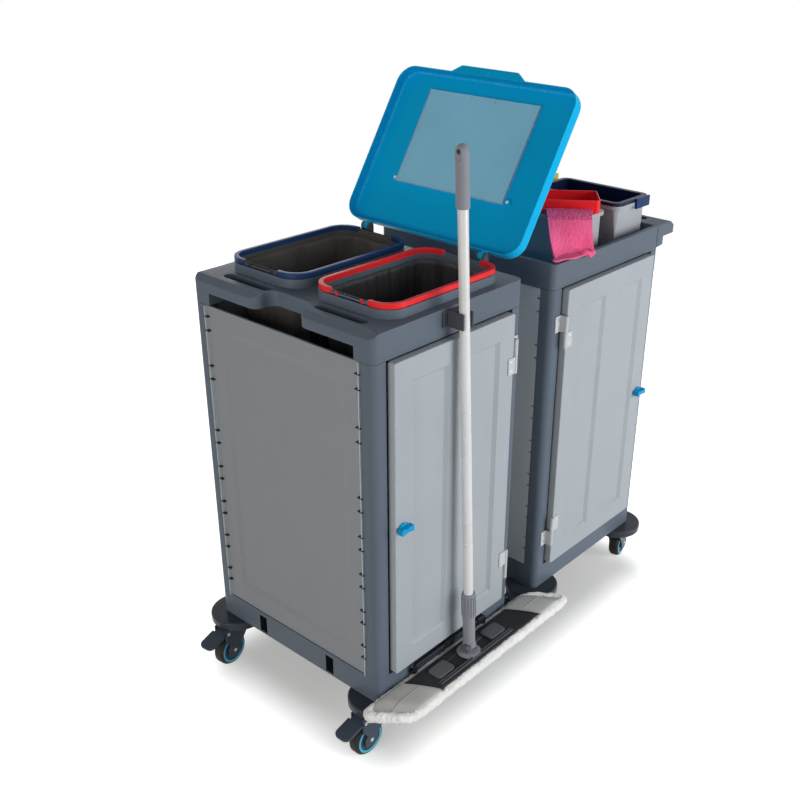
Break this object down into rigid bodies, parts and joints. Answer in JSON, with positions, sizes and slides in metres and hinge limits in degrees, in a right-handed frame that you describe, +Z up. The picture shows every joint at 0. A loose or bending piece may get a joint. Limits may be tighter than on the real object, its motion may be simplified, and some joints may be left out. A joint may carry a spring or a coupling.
{
  "type": "janitor cart",
  "caption": "Janitor cart with a lidded bag cabinet, a tray-topped cabinet, doors, buckets, swivel casters with brake pedals and a flat mop in a clip.",
  "frame": {"origin": "middle of the cart's box, on the floor", "axes": "+X runs along the cart from the bag end to the handle end, -Y is the front with the doors and the mop, +Z is up"},
  "size_m": [1.2797, 0.719, 1.4712],
  "materials": {
    "slate": "fine moulded texture",
    "panel_grey": "fine moulded texture",
    "door_grey": "smooth matt",
    "rail_steel": "satin black",
    "hinge_grey": "smooth matt",
    "dark_plastic": "fine moulded texture",
    "latch_blue": "satin",
    "lid_blue": "satin",
    "pocket_clear": "cloudy clear sheet",
    "ring_red": "satin",
    "ring_navy": "satin",
    "bag_black": "coated cloth",
    "bag_grey": "canvas",
    "mop_alu": "drawn satin",
    "mop_grey": "soft grip",
    "mop_dark": "fine moulded texture",
    "pad_white": "fleece",
    "bucket_grey": "smooth matt",
    "tray_red": "satin",
    "tray_navy": "satin",
    "cloth_pink": "terry",
    "tyre": "matt"
  },
  "bodies": {
    "cart": {"left_base": "slate", "right_base": "slate", "left_posts": "slate", "right_posts": "slate", "left_top_frame": "slate", "right_top_tray": "slate", "left_end_panel": "panel_grey", "right_end_panel": "panel_grey", "inner_panels": "panel_grey", "right_shelf": "panel_grey", "tie_rails": "rail_steel", "bumper_discs": "slate", "hinge_brackets": "hinge_grey", "lid_brackets": "dark_plastic", "mop_clip": "dark_plastic", "front_bar": "rail_steel"},
    "left_door": {"left_door": "door_grey", "left_leaves": "hinge_grey"},
    "left_latch": {"left_latch": "latch_blue"},
    "right_door": {"right_door": "door_grey", "right_leaves": "hinge_grey"},
    "right_latch": {"right_latch": "latch_blue"},
    "lid": {"lid": "lid_blue", "document_pocket": "pocket_clear"},
    "red_bag": {"red_ring": "ring_red", "red_bag": "bag_black"},
    "blue_bag": {"blue_ring": "ring_navy", "blue_bag": "bag_grey"},
    "mop": {"mop_tube": "mop_alu", "mop_grip": "mop_grey", "mop_collar": "mop_grey", "mop_socket": "mop_grey"},
    "mop_head": {"mop_frame": "mop_dark", "mop_pad": "pad_white"},
    "red_bucket": {"red_bucket": "bucket_grey", "red_tray": "tray_red", "pink_cloth": "cloth_pink"},
    "blue_bucket": {"blue_bucket": "bucket_grey", "navy_tray": "tray_navy"},
    "rear_bucket": {"rear_bucket": "bucket_grey"},
    "caster_fl": {"fork_fl": "slate"},
    "wheel_fl": {"wheel_fl": "tyre"},
    "pedal_fl": {"pedal_fl": "slate"},
    "caster_bl": {"fork_bl": "slate"},
    "wheel_bl": {"wheel_bl": "tyre"},
    "pedal_bl": {"pedal_bl": "slate"},
    "caster_fm": {"fork_fm": "slate"},
    "wheel_fm": {"wheel_fm": "tyre"},
    "caster_bm": {"fork_bm": "slate"},
    "wheel_bm": {"wheel_bm": "tyre"},
    "caster_fn": {"fork_fn": "slate"},
    "wheel_fn": {"wheel_fn": "tyre"},
    "pedal_fn": {"pedal_fn": "slate"},
    "caster_bn": {"fork_bn": "slate"},
    "wheel_bn": {"wheel_bn": "tyre"},
    "pedal_bn": {"pedal_bn": "slate"},
    "caster_fr": {"fork_fr": "slate"},
    "wheel_fr": {"wheel_fr": "tyre"},
    "caster_br": {"fork_br": "slate"},
    "wheel_br": {"wheel_br": "tyre"}
  },
  "joints": [
    {"name": "left_door_hinge", "type": "hinge", "parent": "cart", "child": "left_door", "pos_m": [-0.08669, -0.2655, 0.606], "axis": [0, 0, 1], "range_deg": [0, 100]},
    {"name": "right_door_hinge", "type": "hinge", "parent": "cart", "child": "right_door", "pos_m": [0.11631, -0.2655, 0.606], "axis": [0, 0, -1], "range_deg": [0, 100]},
    {"name": "left_latch_turn", "type": "hinge", "parent": "left_door", "child": "left_latch", "pos_m": [-0.47119, -0.2645, 0.606], "axis": [0, 1, 0], "range_deg": [0, 90]},
    {"name": "right_latch_turn", "type": "hinge", "parent": "right_door", "child": "right_latch", "pos_m": [0.50081, -0.2645, 0.606], "axis": [0, -1, 0], "range_deg": [0, 90]},
    {"name": "lid_hinge", "type": "hinge", "parent": "cart", "child": "lid", "pos_m": [-0.07619, 0.0335, 1.103], "axis": [0, 1, 0], "range_deg": [-123, 0]},
    {"name": "red_bag_lift", "type": "slide", "parent": "cart", "child": "red_bag", "axis": [0, 0, 1], "range_m": [0, 0.75]},
    {"name": "blue_bag_lift", "type": "slide", "parent": "cart", "child": "blue_bag", "axis": [0, 0, 1], "range_m": [0, 0.75]},
    {"name": "mop_pull", "type": "slide", "parent": "cart", "child": "mop", "axis": [0, -1, 0], "range_m": [0, 0.63]},
    {"name": "mop_head_tilt", "type": "hinge", "parent": "mop", "child": "mop_head", "pos_m": [-0.27619, -0.3065, 0.192], "axis": [0.9997, 0, 0.0255], "range_deg": [0, 33]},
    {"name": "red_bucket_lift", "type": "slide", "parent": "cart", "child": "red_bucket", "axis": [0, 0, 1], "range_m": [0, 0.12]},
    {"name": "blue_bucket_lift", "type": "slide", "parent": "cart", "child": "blue_bucket", "axis": [0, 0, 1], "range_m": [0, 0.12]},
    {"name": "rear_bucket_lift", "type": "slide", "parent": "cart", "child": "rear_bucket", "axis": [0, 0, 1], "range_m": [0, 0.12]},
    {"name": "swivel_fl", "type": "hinge", "parent": "cart", "child": "caster_fl", "pos_m": [-0.51019, -0.2205, 0.12], "axis": [0, 0, 1], "continuous": true},
    {"name": "roll_fl", "type": "hinge", "parent": "caster_fl", "child": "wheel_fl", "pos_m": [-0.55419, -0.2205, 0.045], "axis": [0, 1, 0], "continuous": true},
    {"name": "brake_fl", "type": "hinge", "parent": "caster_fl", "child": "pedal_fl", "pos_m": [-0.57219, -0.2205, 0.106], "axis": [0, -1, 0], "range_deg": [0, 9]},
    {"name": "swivel_bl", "type": "hinge", "parent": "cart", "child": "caster_bl", "pos_m": [-0.51019, 0.2875, 0.12], "axis": [0, 0, 1], "continuous": true},
    {"name": "roll_bl", "type": "hinge", "parent": "caster_bl", "child": "wheel_bl", "pos_m": [-0.55395, 0.2829, 0.045], "axis": [-0.1045, 0.9945, 0], "continuous": true},
    {"name": "brake_bl", "type": "hinge", "parent": "caster_bl", "child": "pedal_bl", "pos_m": [-0.57185, 0.28102, 0.106], "axis": [0.1045, -0.9945, 0], "range_deg": [0, 9]},
    {"name": "swivel_fm", "type": "hinge", "parent": "cart", "child": "caster_fm", "pos_m": [-0.07419, -0.2205, 0.12], "axis": [0, 0, 1], "continuous": true},
    {"name": "roll_fm", "type": "hinge", "parent": "caster_fm", "child": "wheel_fm", "pos_m": [-0.11819, -0.2205, 0.045], "axis": [0, 1, 0], "continuous": true},
    {"name": "swivel_bm", "type": "hinge", "parent": "cart", "child": "caster_bm", "pos_m": [-0.07419, 0.2875, 0.12], "axis": [0, 0, 1], "continuous": true},
    {"name": "roll_bm", "type": "hinge", "parent": "caster_bm", "child": "wheel_bm", "pos_m": [-0.11819, 0.2875, 0.045], "axis": [0, 1, 0], "continuous": true},
    {"name": "swivel_fn", "type": "hinge", "parent": "cart", "child": "caster_fn", "pos_m": [0.10381, -0.2205, 0.12], "axis": [0, 0, 1], "continuous": true},
    {"name": "roll_fn", "type": "hinge", "parent": "caster_fn", "child": "wheel_fn", "pos_m": [0.10381, -0.1765, 0.045], "axis": [1, 0, 0], "continuous": true},
    {"name": "brake_fn", "type": "hinge", "parent": "caster_fn", "child": "pedal_fn", "pos_m": [0.10381, -0.1585, 0.106], "axis": [-1, 0, 0], "range_deg": [0, 9]},
    {"name": "swivel_bn", "type": "hinge", "parent": "cart", "child": "caster_bn", "pos_m": [0.10381, 0.2875, 0.12], "axis": [0, 0, 1], "continuous": true},
    {"name": "roll_bn", "type": "hinge", "parent": "caster_bn", "child": "wheel_bn", "pos_m": [0.10381, 0.2435, 0.045], "axis": [-1, 0, 0], "continuous": true},
    {"name": "brake_bn", "type": "hinge", "parent": "caster_bn", "child": "pedal_bn", "pos_m": [0.10381, 0.2255, 0.106], "axis": [1, 0, 0], "range_deg": [0, 9]},
    {"name": "swivel_fr", "type": "hinge", "parent": "cart", "child": "caster_fr", "pos_m": [0.53981, -0.2205, 0.12], "axis": [0, 0, 1], "continuous": true},
    {"name": "roll_fr", "type": "hinge", "parent": "caster_fr", "child": "wheel_fr", "pos_m": [0.58285, -0.21135, 0.045], "axis": [0.2079, -0.9781, 0], "continuous": true},
    {"name": "swivel_br", "type": "hinge", "parent": "cart", "child": "caster_br", "pos_m": [0.53981, 0.2875, 0.12], "axis": [0, 0, 1], "continuous": true},
    {"name": "roll_br", "type": "hinge", "parent": "caster_br", "child": "wheel_br", "pos_m": [0.58381, 0.2875, 0.045], "axis": [0, -1, 0], "continuous": true}
  ],
  "couplings": [
    {"joint": "mop_pull", "follows": "left_door_hinge", "m_per_rad": 0.36},
    {"joint": "mop_head_tilt", "follows": "left_door_hinge", "ratio": 0.32}
  ]
}
